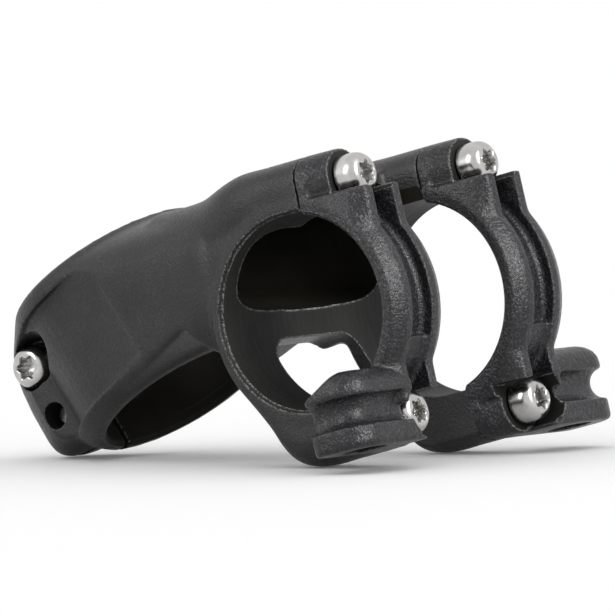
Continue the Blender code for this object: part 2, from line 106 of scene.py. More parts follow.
# Accessory lugs
LUG_END = 36.4 * MM
LUG_FRONT = 15.6 * MM
LUG_BOTTOM = -24.7 * MM
LUG_FRONT_CORNER = 5.0 * MM
LUG_REAR_CORNER = 2.9 * MM
GROOVE_Z = -18.7 * MM
GROOVE_R = 2.5 * MM
GROOVE_DEPTH = 2.1 * MM
LUG_HOLE_X = 28.6 * MM
LUG_HOLE_Y = -9.9 * MM
LUG_HOLE_R = 2.2 * MM
LUG_RECESS_R = 3.7 * MM
LUG_RECESS_DEPTH = 1.8 * MM

# M4 screws with a tall domed head and a six-lobe socket
SCREW_R = 2.0 * MM
HEAD_R = 3.6 * MM
HEAD_H = 4.3 * MM
SOCKET_R = 1.95 * MM
SOCKET_DEPTH = 2.2 * MM
HOLE_R = 2.3 * MM
CAP_SCREW_LENGTH = 16.0 * MM
CAP_HOLE_END = 7.2 * MM
PINCH_SCREW_LENGTH = 11.5 * MM

# How far the stem leans back when it stands on a table
REST_LEAN = math.radians(12.99)

SEGMENTS = 144

# The bar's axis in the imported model
LEAN_FRAME = (
    Matrix.Translation((0, -26.65 * MM, 25.417 * MM)) @ Matrix.Rotation(-REST_LEAN, 4, "X")
)

# Detail of the forged skin
BLEND_VOXEL = 0.5 * MM
SKIN_VOXEL = 0.32 * MM
CAP_VOXEL = 0.25 * MM
EDGE_CHAMFER = 0.6 * MM
SPOT_LEAN = 26             # degrees
SCREW_SIDES = 60
THREAD_PITCH = 0.7 * MM
THREAD_DEPTH = 0.38 * MM
SEAT_CUT = 0.1 * MM        # how far the faceplate is cut behind SEAT
SEAT_GAP = 0.1 * MM        # how far a screw stands proud of its seat
FAR = 60 * MM              # beyond every side of the stem

STEERER_FRAME = (
    Matrix.Translation((0, STEERER_BACK, -STEERER_DROP)) @ Matrix.Rotation(-STEERER_LEAN, 4, "X")
)


# ---------------------------------------------------------------- basic shapes

def add_object(name, mesh):
    item = bpy.data.objects.new(name, mesh)
    bpy.context.scene.collection.objects.link(item)
    return item


def loft(name, rings):
    """A closed solid through rings that all have the same number of points."""
    mesh = bmesh.new()
    rows = [[mesh.verts.new(point) for point in ring] for ring in rings]
    count = len(rows[0])
    for low, high in zip(rows, rows[1:]):
        for i in range(count):
            j = (i + 1) % count
            mesh.faces.new((low[i], low[j], high[j], high[i]))
    mesh.faces.new(list(reversed(rows[0])))
    mesh.faces.new(rows[-1])
    bmesh.ops.recalc_face_normals(mesh, faces=mesh.faces)
    if mesh.calc_volume(signed=True) < 0:
        bmesh.ops.reverse_faces(mesh, faces=mesh.faces)
    bmesh.ops.triangulate(mesh, faces=[face for face in mesh.faces if len(face.verts) == 4])
    data = bpy.data.meshes.new(name)
    mesh.to_mesh(data)
    mesh.free()
    return add_object(name, data)


def spline_rings(rings, steps):
    """Rings on a smooth curve through the given ones."""
    made = []
    last = len(rings) - 1
    for k in range(last):
        a, b, c, d = rings[max(k - 1, 0)], rings[k], rings[k + 1], rings[min(k + 2, last)]
        for step in range(steps):
            t = step / steps
            made.append([catmull(*corners, t) for corners in zip(a, b, c, d)])
    return made + [rings[-1]]


def catmull(a, b, c, d, t):
    """The smooth curve from b to c, at t from 0 to 1."""
    return 0.5 * (2 * b + (c - a) * t + (2 * a - 5 * b + 4 * c - d) * t * t + (3 * (b - c) + d - a) * t ** 3)


def prism(name, outline, low, high, axis="X"):
    """An outline of (u, v) pairs pushed from low to high along an axis."""
    place = {
        "X": lambda u, v, w: Vector((w, u, v)),
        "Y": lambda u, v, w: Vector((u, w, v)),
        "Z": lambda u, v, w: Vector((u, v, w)),
    }[axis]
    return loft(name, [[place(u, v, w) for u, v in outline] for w in (low, high)])


def box(name, low, high):
    corners = [(low[0], low[1]), (high[0], low[1]), (high[0], high[1]), (low[0], high[1])]
    return prism(name, corners, low[2], high[2], "Z")


def circle(radius, count=SEGMENTS, centre=(0.0, 0.0), turn=0.0):
    step = 2 * math.pi / count
    return [
        (centre[0] + radius * math.cos(turn + i * step), centre[1] + radius * math.sin(turn + i * step))
        for i in range(count)
    ]


def rod(name, radius, low, high, axis, centre=(0.0, 0.0), count=SEGMENTS):
    return prism(name, circle(radius, count, centre), low, high, axis)


def arc(centre, radius, start, end, count):
    """Points along an arc, with its angles in degrees."""
    angles = [math.radians(start + (end - start) * i / (count - 1)) for i in range(count)]
    return [(centre[0] + radius * math.cos(a), centre[1] + radius * math.sin(a)) for a in angles]


def superellipse(half_x, half_z, middle_z, y, power=2.6, count=32, middle_x=0.0):
    """A rounded oblong ring in a plane of constant y."""
    ring = []
    for i in range(count):
        angle = 2 * math.pi * i / count
        c = math.cos(angle)
        s = math.sin(angle)
        x = middle_x + half_x * math.copysign(abs(c) ** (2 / power), c)
        z = middle_z + half_z * math.copysign(abs(s) ** (2 / power), s)
        ring.append(Vector((x, y, z)))
    return ring


def oblong_rings(sections, power, count):
    """Rings from rows of (back, half width, low, high) in millimetres."""
    return [
        superellipse(half * MM, (high - low) / 2 * MM, (high + low) / 2 * MM, back * MM, power, count)
        for back, half, low, high in sections
    ]


def move_mesh(item, matrix):
    item.data.transform(matrix)
    return item


def apply_boolean(item, other, operation):
    modifier = item.modifiers.new(operation.lower(), "BOOLEAN")
    modifier.operation = operation
    modifier.solver = "EXACT"
    modifier.material_mode = "TRANSFER"
    modifier.object = other
    graph = bpy.context.evaluated_depsgraph_get()
    mesh = bpy.data.meshes.new_from_object(item.evaluated_get(graph))
    item.modifiers.clear()
    old = item.data
    item.data = mesh
    bpy.data.meshes.remove(old)
    bpy.data.objects.remove(other, do_unlink=True)


def unite(item, others):
    for other in others:
        apply_boolean(item, other, "UNION")
    return item


def cut(item, cutters):
    for cutter in cutters:
        apply_boolean(item, cutter, "DIFFERENCE")
    return item


def one_solid(cutters, material):
    """Cutters joined into one, so that the dense skin is cut only once."""
    for cutter in cutters:
        cutter.data.materials.clear()
        cutter.data.materials.append(material)
    return unite(cutters[0], cutters[1:])


def gather(items):
    """Puts overlapping solids into one mesh, for a remesh to join."""
    mesh = bmesh.new()
    for item in items:
        mesh.from_mesh(item.data)
    for item in items[1:]:
        bpy.data.objects.remove(item, do_unlink=True)
    mesh.to_mesh(items[0].data)
    mesh.free()
    return items[0]


def forge(item, voxel, passes):
    """Remeshes a solid evenly and softens it, which rounds its edges and fills its corners."""
    remesh = item.modifiers.new("remesh", "REMESH")
    remesh.mode = "VOXEL"
    remesh.voxel_size = voxel
    soften = item.modifiers.new("soften", "SMOOTH")
    soften.factor = 0.5
    soften.iterations = passes
    graph = bpy.context.evaluated_depsgraph_get()
    mesh = bpy.data.meshes.new_from_object(item.evaluated_get(graph))
    item.modifiers.clear()
    item.data = mesh
    return item


def finish(item, name, material, angle=32):
    """Names a piece, merges stray points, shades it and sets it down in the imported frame."""
    mesh = bmesh.new()
    mesh.from_mesh(item.data)
    bmesh.ops.remove_doubles(mesh, verts=mesh.verts, dist=0.008 * MM)
    bmesh.ops.dissolve_degenerate(mesh, edges=mesh.edges, dist=0.004 * MM)
    mesh.to_mesh(item.data)
    mesh.free()
    item.name = name
    item.data.name = name
    if not any(item.data.materials):
        item.data.materials.clear()
        item.data.materials.append(material)
    item.data.shade_smooth()
    item.data.set_sharp_from_angle(angle=math.radians(angle))
    item.data.transform(LEAN_FRAME)
    return item


# ---------------------------------------------------------------- steerer clamp

def teardrop(radius, nose_centre, nose_radius, count=108):
    """A barrel's outline drawn out to a round nose, as (across, back) pairs."""
    spread = math.acos((radius - nose_radius) / nose_centre)
    points = []
    nose_count = count // 3
    for i in range(nose_count + 1):
        angle = -spread + 2 * spread * i / nose_count
        points.append((nose_radius * math.sin(angle), nose_centre + nose_radius * math.cos(angle)))
    barrel_count = count - nose_count
    for i in range(barrel_count + 1):
        angle = spread + (2 * math.pi - 2 * spread) * i / barrel_count
        points.append((radius * math.sin(angle), radius * math.cos(angle)))
    return points


def steerer_clamp():
    """The split barrel with its pinch nose, rounded at both ends."""
    levels = [
        (0.0, 15.9, 0.9), (0.5, 16.7, 1.7), (1.0, 17.2, 2.2), (1.9, 18.0, 3.0), (2.8, 18.5, 3.5),
        (3.5, 18.65, 5.6), (4.0, 18.65, 8.0), (4.6, 18.65, 9.4), (5.4, 18.65, 10.1), (7.0, 18.65, 10.4),
        (13.0, 18.65, 10.3), (17.2, 18.65, 9.9), (20.4, 18.65, 9.3), (22.6, 18.65, 8.5),
        (24.2, 18.5, 7.5), (25.3, 17.8, 6.3),
    ]
    rings = []
    for height, radius, nose in levels:
        outline = teardrop(radius * MM, NOSE_CENTRE, nose * MM)
        rings.append([Vector((x, y, height * MM)) for x, y in outline])
    return move_mesh(loft("clamp", rings), STEERER_FRAME)


def pocket_outline(side):
    """The scallop beside the pinch nose: a recessed barrel, then the flat of the ear."""
    recess_r = 17.2 * MM
    front = [(19.9, -9.5), (19.0, -6.2), (18.2, -3.2), (17.6, -0.6)]
    inner = [(x * MM, y * MM) for x, y in front]
    inner += [(x, y) for y, x in arc((0, 0), recess_r, 84, 36, 9)]
    corner = 2.2 * MM
    bend_y = math.sqrt((recess_r + corner) ** 2 - (EAR_HALF + corner) ** 2)
    turn = math.degrees(math.atan2(EAR_HALF + corner, bend_y))
    inner += [(x, y) for y, x in arc((bend_y, EAR_HALF + corner), corner, 180 + turn, 270, 6)]
    outer = [(EAR_HALF, 30 * MM), (30 * MM, 30 * MM), (30 * MM, inner[0][1] - 3.0 * MM)]
    return [(side * x, y) for x, y in inner + outer]


def bore_rings(tall):
    """The steerer's bore, which flares a little at both mouths."""
    flare = STEERER_R + EDGE_CHAMFER
    levels = [(-tall, flare), (0, flare), (EDGE_CHAMFER, STEERER_R)]
    levels += [(CLAMP_H - EDGE_CHAMFER, STEERER_R), (CLAMP_H, flare), (tall, flare)]
    return [[Vector((x, y, z)) for x, y in circle(r)] for z, r in levels]


def spot_face(side, height):
    """The counterbore's mouth leans forward, so the screw's head stands clear of the barrel."""
    turn = Matrix.Rotation(math.radians(-side * SPOT_LEAN), 4, "Z")
    seat = STEERER_FRAME @ Matrix.Translation((side * PINCH_SEAT, PINCH_BACK, height)) @ turn
    low, high = sorted((side * 1.3 * MM, side * 14 * MM))
    return move_mesh(rod("spot_face", HEAD_R + 0.35 * MM, low, high, "X", (0, 0), 64), seat)


def pinch_cutters():
    """Everything that is cut out of the steerer clamp, in the steerer's frame."""
    tall = CLAMP_H + 10 * MM
    bore = loft("bore", bore_rings(tall))
    relief_r = STEERER_R + 0.9 * MM
    relief = rod("relief", relief_r, 2.2 * MM, CLAMP_H - 2.2 * MM, "Z", (0, -1.1 * MM), 96)
    slit = box("slit", (-SLIT / 2, 0, -tall), (SLIT / 2, 40 * MM, tall))
    cutters = [bore, relief, slit]
    for height, side in zip(PINCH_HEIGHTS, (1, -1)):
        centre = (PINCH_BACK, height)
        cutters.append(rod("pinch_hole", HOLE_R, -40 * MM, 40 * MM, "X", centre, 40))
        ends = sorted((side * PINCH_SEAT, side * 40 * MM))
        cutters.append(rod("counterbore", HEAD_R + 0.4 * MM, ends[0], ends[1], "X", centre, 56))
    for cutter in cutters:
        move_mesh(cutter, STEERER_FRAME)
    return cutters


def pockets():
    """The two scallops that are forged beside the pinch nose."""
    made = []
    for side in (-1, 1):
        made.append(prism("pocket", pocket_outline(side), POCKET_LOW, POCKET_HIGH, "Z"))
        move_mesh(made[-1], STEERER_FRAME)
    return made


# ---------------------------------------------------------------- extension and arms

def neck():
    """The hull that carries the barrel's sides forward to the arms."""
    points = []
    for height in (3.2 * MM, CLAMP_H - 1.2 * MM):
        points += [STEERER_FRAME @ Vector((x, y, height)) for x, y in circle(BARREL_R - 0.25 * MM, 96)]
    for ring in oblong_rings(((22.0, 22.4, -1.6, 22.9), (17.5, 23.4, -3.2, 22.4)), 3.2, 72):
        points += ring
    mesh = bmesh.new()
    for point in points:
        mesh.verts.new(point)
    hull = bmesh.ops.convex_hull(mesh, input=mesh.verts)
    spare = hull["geom_interior"] + hull["geom_unused"]
    loose = [item for item in spare if isinstance(item, bmesh.types.BMVert)]
    bmesh.ops.delete(mesh, geom=list(set(loose)), context="VERTS")
    bmesh.ops.recalc_face_normals(mesh, faces=mesh.faces)
    bmesh.ops.triangulate(mesh, faces=[face for face in mesh.faces if len(face.verts) > 3])
    data = bpy.data.meshes.new("neck")
    mesh.to_mesh(data)
    mesh.free()
    below = box("below", (-FAR, NECK_STEP, -FAR), (FAR, FAR, NECK_LOW))
    return cut(add_object("neck", data), [move_mesh(below, STEERER_FRAME)])


def deck():
    """The front of the extension, whose underside rises over the bar."""
    sections = [
        (24.0, 21.6, -1.4, 23.2), (19.0, 22.8, -2.6, 22.5), (15.0, 23.4, -4.2, 22.6),
        (11.0, 23.4, 1.0, 23.0), (6.5, 21.0, 12.0, 22.8), (2.5, 18.0, 17.0, 22.4),
    ]
    return loft("deck", spline_rings(oblong_rings(sections, 2.9, 64), 4))


def clamp_ring(side):
    """One arm's ring round the bar: a flat rim outside, and a crest over the bolts."""
    profile = [
        (HALF_WIDTH, BAR_R - 2 * MM),
        (HALF_WIDTH, CAP_SIDE_R - 0.3 * MM),
        (HALF_WIDTH - 0.6 * MM, CAP_SIDE_R + 0.2 * MM),
        (BOLT_X + 3.6 * MM, CREST_R + 0.2 * MM),
        (BOLT_X - 3.6 * MM, CREST_R + 0.2 * MM),
        (WINDOW_HALF - 0.3 * MM, CAP_SIDE_R - 0.4 * MM),
        (WINDOW_HALF - 0.3 * MM, BAR_R - 2 * MM),
    ]
    rings = []
    steps = 90
    for i in range(steps + 1):
        angle = math.radians(66 + 228 * i / steps)
        direction = Vector((0, -math.cos(angle), math.sin(angle)))
        rings.append([Vector((side * x, 0, 0)) + direction * r for x, r in profile])
    return loft("ring", rings)


def lower_arm(side):
    """The forged arm that follows the bar down and swells into the lower boss."""
    sections = [
        (172, 18.2, 6.6, 4.0), (192, 18.4, 6.8, 4.0), (210, 18.8, 6.9, 4.0), (224, 19.5, 6.9, 3.6),
        (236, 21.2, 6.9, 3.4), (243, 23.4, 6.9, 3.2), (249, 25.0, 6.9, 3.0), (255, 25.4, 6.9, 2.8),
        (262, 25.0, 6.9, 2.7), (270, 24.6, 6.9, 2.6),
    ]
    inner = 13.5 * MM
    rings = []
    for degrees, outer, half_x, power in sections:
        angle = math.radians(degrees)
        direction = Vector((0, -math.cos(angle), math.sin(angle)))
        middle = Vector((side * BOLT_X, 0, 0)) + direction * ((outer * MM + inner) / 2)
        flat = superellipse(half_x * MM, (outer * MM - inner) / 2, 0.0, 0.0, power, 48)
        rings.append([middle + Vector((point.x, 0, 0)) + direction * point.z for point in flat])
    return loft("lower_arm", spline_rings(rings, 4))


def arm_end(side, level):
    """The rounded block at the end of an arm, which takes the thread of one bolt."""
    rings = []
    for back in (6.0 * MM, -SEAM - 1 * MM):
        rings.append(superellipse(END_HALF, BOSS_R, level * BOLT_Z, back, END_POWER, 64, side * BOLT_X))
    return loft("arm_end", rings)


def upper_arm(side):
    """The ridge that runs from the extension's shoulder forward into the upper boss."""
    sections = [
        (33.0, 9.0, 16.0, 8.0, 7.4),
        (26.0, 11.5, 16.0, 7.8, 6.9),
        (19.0, 14.2, 16.4, 7.4, 6.5),
        (13.0, 16.4, 18.1, 7.0, 6.0),
        (9.0, 17.0, 19.2, 7.0, 5.6),
        (5.0, 17.0, 19.7, 7.0, 5.05),
    ]
    rings = []
    for back, x, z, half_x, half_z in sections:
        ring = superellipse(half_x * MM, half_z * MM, z * MM, back * MM, 2.4, 48, side * x * MM)
        rings.append(ring)
    return loft("upper_arm", spline_rings(rings, 4))


def web(side, level):
    """Fills between a boss and the bar's bore, up to the clamp face."""
    low, high = sorted((level * 13.0 * MM, level * BOLT_Z))
    front = -SEAM - 0.8 * MM
    half = END_HALF - 0.1 * MM
    return box("web", (side * BOLT_X - half, front, low), (side * BOLT_X + half, 6.0 * MM, high))


def window_outline():
    """The gap between the lower arms, with round upper corners."""
    corner = 4.0 * MM
    across, high = WINDOW_HALF - corner, WINDOW_TOP - corner
    points = arc((across, high), corner, 0, 90, 14) + arc((-across, high), corner, 90, 180, 14)
    return points + [(-WINDOW_HALF, -40 * MM), (WINDOW_HALF, -40 * MM)]


def cavity():
    """The hollow behind the bar, which narrows towards the steerer's bore."""
    sections = [
        (5.8, 20.3, CAVITY_FLOOR / MM, 15.4), (12.0, 20.3, CAVITY_FLOOR / MM, 17.8), (18.0, 19.0, 3.4, 18.8),
        (24.0, 16.4, 5.2, 19.2), (30.0, 13.0, 7.6, 19.0), (38.0, 9.0, 10.0, 18.4),
    ]
    return loft("cavity", spline_rings(oblong_rings(sections, 4.5, 64), 4))


def centre_cavity():
    """The open middle between the upper arms, under the deck."""
    sections = [(-10.0, 10.6, 2.4, 20.6), (16.0, 10.6, 2.8, 20.8), (25.0, 9.0, 6.4, 19.8)]
    return loft("centre_cavity", spline_rings(oblong_rings(sections, 5.0, 64), 4))


def saddle():
    """The bar's half round seat, flared at both faces, which runs forward to the clamp face."""
    flare = BAR_R + EDGE_CHAMFER
    stations = [(-FAR, flare), (-HALF_WIDTH, flare), (EDGE_CHAMFER - HALF_WIDTH, BAR_R)]
    stations += [(HALF_WIDTH - EDGE_CHAMFER, BAR_R), (HALF_WIDTH, flare), (FAR, flare)]
    rings = []
    for x, r in stations:
        outline = arc((0, 0), r, -90, 90, 120) + [(-30 * MM, r), (-30 * MM, -r)]
        rings.append([Vector((x, u, v)) for u, v in outline])
    return loft("saddle", rings)


def body_cutters():
    """Everything that is cut out of the front of the body, in the bar frame."""
    cutters = [
        saddle(),
        box("front", (-FAR, -40 * MM, -FAR), (FAR, -SEAM, FAR)),
    ]
    for side in (-1, 1):
        for level in (-1, 1):
            centre = (side * BOLT_X, level * BOLT_Z)
            cutters.append(rod("bolt_hole", HOLE_R, -20 * MM, CAP_HOLE_END, "Y", centre, 40))
    return cutters


def make_body(skin, machined, shaded_inside):
    solids = [steerer_clamp(), neck(), deck()]
    for side in (-1, 1):
        solids += [clamp_ring(side), lower_arm(side), upper_arm(side)]
        for level in (-1, 1):
            solids += [arm_end(side, level), web(side, level)]
    body = forge(gather(solids), BLEND_VOXEL, 14)
    window = prism("window", window_outline(), -20 * MM, 27 * MM, "Y")
    cut(body, [one_solid(pockets() + [window], skin)])
    forge(body, SKIN_VOXEL, 3)
    body.data.materials.clear()
    body.data.materials.append(skin)
    # The hollows and the steerer's bore take a low-gloss copy of the machined black, so they read darker:
    # painted shade.
    cut(body, [one_solid([cavity(), centre_cavity()], shaded_inside)])
    bores = pinch_cutters()
    cut(body, [one_solid(body_cutters(), machined), one_solid(bores[:2], shaded_inside)])
    cut(body, [one_solid(bores[2:], machined)])
    faces = [spot_face(side, height) for height, side in zip(PINCH_HEIGHTS, (1, -1))]
    cut(body, [one_solid(faces, machined)])
    return finish(body, "forged_body", skin)


# ---------------------------------------------------------------- faceplates

def crest_radius(angle):
    """The ribs follow the bar, then run straight on towards the bolt heads."""
    front = CREST_FRONT if angle > 0 else CREST_FRONT - 0.9 * MM
    return max(CREST_R, front / max(math.cos(angle), 0.3))


def channel_radius(angle):
    return CHANNEL_R if angle > LEDGE_ANGLE else LEDGE_R


def cap_rings(channel):
    """A sweep round the bar: the whole rib section, or the channel that is cut from it."""
    if channel:
        steps = [-58, -55, -50, -45, -40, -36, -33, -29, -26.01, -25.99] + list(range(-24, 61, 3)) + [62]
    else:
        steps = range(-84, 85, 2)
    rings = []
    for degrees in steps:
        angle = math.radians(degrees)
        direction = Vector((0, -math.cos(angle), math.sin(angle)))
        crest = min(crest_radius(angle), 26 * MM)
        if channel:
            floor = channel_radius(angle)
            profile = [
                (-RIB_IN, crest + 3 * MM), (-RIB_IN, floor + 0.6 * MM), (-RIB_IN + 0.6 * MM, floor),
                (RIB_IN - 0.6 * MM, floor), (RIB_IN, floor + 0.6 * MM), (RIB_IN, crest + 3 * MM),
            ]
        else:
            profile = [
                (-CAP_HALF, BAR_R - 2 * MM), (-CAP_HALF, CAP_SIDE_R), (-RIB_OUT, crest - 0.2 * MM),
                (-RIB_OUT + 0.4 * MM, crest), (RIB_OUT - 0.4 * MM, crest), (RIB_OUT, crest - 0.2 * MM),
                (CAP_HALF, CAP_SIDE_R), (CAP_HALF, BAR_R - 2 * MM),
            ]
        rings.append([Vector((x, 0, 0)) + direction * r for x, r in profile])
    return rings


def lug_outline(inset):
    """The lug in plan, as (outboard, back) pairs, with both outer corners round."""
    end = LUG_END - inset - BOLT_X
    front = -LUG_FRONT + inset
    large = LUG_FRONT_CORNER - 0.8 * inset
    small = LUG_REAR_CORNER - 0.4 * inset
    points = [(1.0 * MM, CAP_FACE), (1.0 * MM, front)]
    points += arc((end - large, front + large), large, 270, 360, 18)
    points += arc((end - small, CAP_FACE - small), small, 0, 90, 12)
    return points


def lug(side):
    """The lug's stack of outlines: two round-edged ridges with a half-round groove between."""
    levels = [(LUG_BOTTOM, 0.7 * MM), (LUG_BOTTOM + 0.25 * MM, 0.2 * MM), (LUG_BOTTOM + 0.8 * MM, 0.0)]
    for degrees in range(-90, 91, 10):
        a = math.radians(degrees)
        levels.append((GROOVE_Z + GROOVE_R * math.sin(a), GROOVE_DEPTH * math.cos(a) + 0.02 * MM))
    levels += [
        (-15.2 * MM, 0.0), (-14.2 * MM, 0.15 * MM), (-13.2 * MM, 0.7 * MM), (-12.4 * MM, 1.7 * MM),
        (-11.9 * MM, 3.0 * MM),
    ]
    rings = []
    for z, inset in levels:
        rings.append([Vector((side * x, y, z)) for x, y in lug_outline(inset)])
    return loft("lug", rings)


def flared_bar():
    """The bar's own space, opened a little at the faceplate's two faces."""
    flare = BAR_R + EDGE_CHAMFER
    stations = [(-FAR, flare), (-CAP_HALF, flare), (EDGE_CHAMFER - CAP_HALF, BAR_R)]
    stations += [(CAP_HALF - EDGE_CHAMFER, BAR_R), (CAP_HALF, flare), (FAR, flare)]
    return loft("bar", [[Vector((x, u, v)) for u, v in circle(r)] for x, r in stations])


def cap_cutters(side):
    """Clears the bar, the clamp face, the bolt heads' pockets and the lug's hole."""
    seat = SEAT_CUT - SEAT
    cutters = [
        flared_bar(),
        box("behind", (-FAR, CAP_FACE, -FAR), (FAR, FAR, FAR)),
        box("upper_seat", (-FAR, -FAR, RIB_TOP_Z), (FAR, seat, FAR)),
        rod("upper_pocket", SCREW_POCKET_R - 0.3 * MM, -FAR, seat, "Y", (0, BOLT_Z), 64),
        rod("lower_pocket", SCREW_POCKET_R, -FAR, seat, "Y", (0, -BOLT_Z), 64),
    ]
    inner, outer = sorted((-side * FAR, side * 0.4 * MM))
    cutters.append(box("lower_seat", (inner, -FAR, -FAR), (outer, seat, RIB_LOW_Z)))
    for level in (-1, 1):
        cutters.append(rod("bolt_hole", HOLE_R, -FAR, FAR, "Y", (0, level * BOLT_Z), 40))
    centre = (side * (LUG_HOLE_X - BOLT_X), LUG_HOLE_Y)
    cutters.append(rod("lug_hole", LUG_HOLE_R, -FAR, 0, "Z", centre, 48))
    cutters.append(rod("lug_recess", LUG_RECESS_R, -FAR, LUG_BOTTOM + LUG_RECESS_DEPTH, "Z", centre, 64))
    return cutters


def cap_boss(level):
    """The block a faceplate bolt passes through: it matches the arm, then narrows to the head."""
    sections = [
        (CAP_FACE + 0.5 * MM, END_HALF, END_POWER), (CAP_FACE, END_HALF, END_POWER),
        (CAP_FACE - 2.0 * MM, 6.4 * MM, 2.3), (CAP_FACE - 4.0 * MM, 5.4 * MM, 2.1), (-SEAT, BOSS_R, 2.0),
    ]
    rings = []
    for y, half, power in sections:
        rings.append(superellipse(half, BOSS_R, level * BOLT_Z, y, power, 64))
    return loft("cap_boss", rings)


def make_faceplate(name, side, skin, machined):
    """Built about its own middle plane, then moved out to its arm."""
    cap = loft("cap", cap_rings(False))
    cut(cap, [box("top", (-FAR, -FAR, RIB_TOP_Z), (FAR, FAR, FAR))])
    cut(cap, [box("bottom", (-FAR, -FAR, -FAR), (FAR, FAR, 1.4 * MM - BOLT_Z))])
    pieces = [cap, cap_boss(-1), cap_boss(1), lug(side)]
    for level in (-1, 1):
        low, high = sorted((level * 12.6 * MM, level * BOLT_Z))
        web_low, web_high = (-4.85 * MM, 0.05 * MM - SEAT, low), (4.85 * MM, CAP_FACE + 0.4 * MM, high)
        heel_low, heel_high = (-6.85 * MM, CAP_FACE - 1.5 * MM, low), (6.85 * MM, CAP_FACE + 0.3 * MM, high)
        pieces += [box("web", web_low, web_high), box("heel", heel_low, heel_high)]
    forge(gather(pieces), CAP_VOXEL, 2)
    cut(cap, [loft("channel", cap_rings(True))])
    forge(cap, CAP_VOXEL, 2)
    cap.data.materials.clear()
    cap.data.materials.append(skin)
    cut(cap, [one_solid(cap_cutters(side), machined)])
    move_mesh(cap, Matrix.Translation((side * BOLT_X, 0, 0)))
    return finish(cap, name, skin)


# ---------------------------------------------------------------- screws

def six_lobe(radius, count=72):
    """A rounded six-pointed star."""
    points = []
    for i in range(count):
        angle = 2 * math.pi * i / count
        r = radius * (0.86 + 0.14 * math.cos(6 * angle))
        points.append((r * math.cos(angle), r * math.sin(angle)))
    return points


def thread_rings(length, count=SCREW_SIDES):
    """The threaded shank: each ring's points rise and fall along one continuous helix."""
    rings = []
    rows = int((length - 1.0 * MM) / THREAD_PITCH * 6)
    for row in range(rows + 1):
        z = -length + 0.5 * MM + (length - 1.0 * MM) * row / rows
        ring = []
        for i in range(count):
            turn = i / count
            phase = (z / THREAD_PITCH - turn) % 1.0
            depth = THREAD_DEPTH * abs(2 * phase - 1)
            angle = 2 * math.pi * turn
            r = SCREW_R - depth
            ring.append(Vector((r * math.cos(angle), r * math.sin(angle), z)))
        rings.append(ring)
    return rings


def head_rings(count=SCREW_SIDES):
    """The head: a small underside chamfer, a straight wall, and a dome with a flat crown."""
    wall = HEAD_H * 0.5
    profile = [(SCREW_R, 0.0), (HEAD_R - 0.25 * MM, 0.0), (HEAD_R, 0.25 * MM), (HEAD_R, wall)]
    for i in range(1, 21):
        angle = math.radians(90 * i / 20)
        profile.append((HEAD_R - 1.45 * MM * (1 - math.cos(angle)), wall + (HEAD_H - wall) * math.sin(angle)))
    return [[Vector((x, y, z)) for x, y in circle(r, count)] for r, z in profile]


def make_screw(name, length, steel, place):
    """A screw along +Z, with its head's seat at the origin and its tip below."""
    tip = [Vector((x, y, -length)) for x, y in circle(SCREW_R - 0.5 * MM, SCREW_SIDES)]
    screw = loft("screw", [tip] + thread_rings(length) + head_rings())
    floor = HEAD_H - SOCKET_DEPTH
    levels = [
        (floor, SOCKET_R * 0.94), (HEAD_H - 0.25 * MM, SOCKET_R),
        (HEAD_H + 0.1 * MM, SOCKET_R + 0.35 * MM), (HEAD_H + 1 * MM, SOCKET_R + 1 * MM),
    ]
    rings = [[Vector((x, y, z)) for x, y in six_lobe(r)] for z, r in levels]
    cut(screw, [loft("socket", rings)])
    move_mesh(screw, place)
    return finish(screw, name, steel, 40)


def screw_place(seat, axis):
    """The matrix that stands a screw on its seat with its head pointing along the axis."""
    turn = Vector((0, 0, 1)).rotation_difference(Vector(axis))
    return Matrix.Translation(seat) @ turn.to_matrix().to_4x4()


# ---------------------------------------------------------------- materials

def add_node(tree, kind, inputs=None, **settings):
    node = tree.nodes.new(kind)
    for key, value in settings.items():
        setattr(node, key, value)
    for key, value in (inputs or {}).items():
        if isinstance(value, bpy.types.NodeSocket):
            tree.links.new(value, node.inputs[key])
        else:
            node.inputs[key].default_value = value
    return node


def noise(tree, where, scale, detail, rough=0.5):
    sizes = {"Vector": where, "Scale": scale, "Detail": detail, "Roughness": rough}
    return add_node(tree, "ShaderNodeTexNoise", sizes).outputs["Fac"]


def spread(tree, value, low, high, start=0.3, end=0.7):
    """Maps a noise value onto a range."""
    sizes = {"Value": value, "From Min": start, "From Max": end, "To Min": low, "To Max": high}
    return add_node(tree, "ShaderNodeMapRange", sizes).outputs["Result"]


def edge_mask(tree, radius, start, end):
    """How sharply the surface turns close by, from 0 on flats to 1 on edges."""
    bevel = add_node(tree, "ShaderNodeBevel", {"Radius": radius}, samples=4)
    shape = add_node(tree, "ShaderNodeNewGeometry")
    normals = {0: bevel.outputs["Normal"], 1: shape.outputs["Normal"]}
    dot = add_node(tree, "ShaderNodeVectorMath", normals, operation="DOT_PRODUCT")
    sizes = {"Value": dot.outputs["Value"], "From Min": start, "From Max": end, "To Min": 1.0, "To Max": 0.0}
    return add_node(tree, "ShaderNodeMapRange", sizes).outputs["Result"], bevel.outputs["Normal"]


def mix_colors(tree, factor, low, high):
    node = add_node(tree, "ShaderNodeMix", {"Factor": factor}, data_type="RGBA")
    for socket, value in ((node.inputs[6], low), (node.inputs[7], high)):
        if isinstance(value, bpy.types.NodeSocket):
            tree.links.new(value, socket)
        else:
            socket.default_value = (*value, 1.0)
    return node.outputs[2]


def new_material(name):
    material = bpy.data.materials.new(name)
    material.use_nodes = True
    tree = material.node_tree
    where = add_node(tree, "ShaderNodeTexCoord").outputs["Object"]
    return material, tree, tree.nodes["Principled BSDF"], where


def product(tree, a, b):
    return add_node(tree, "ShaderNodeMath", {0: a, 1: b}, operation="MULTIPLY").outputs["Value"]


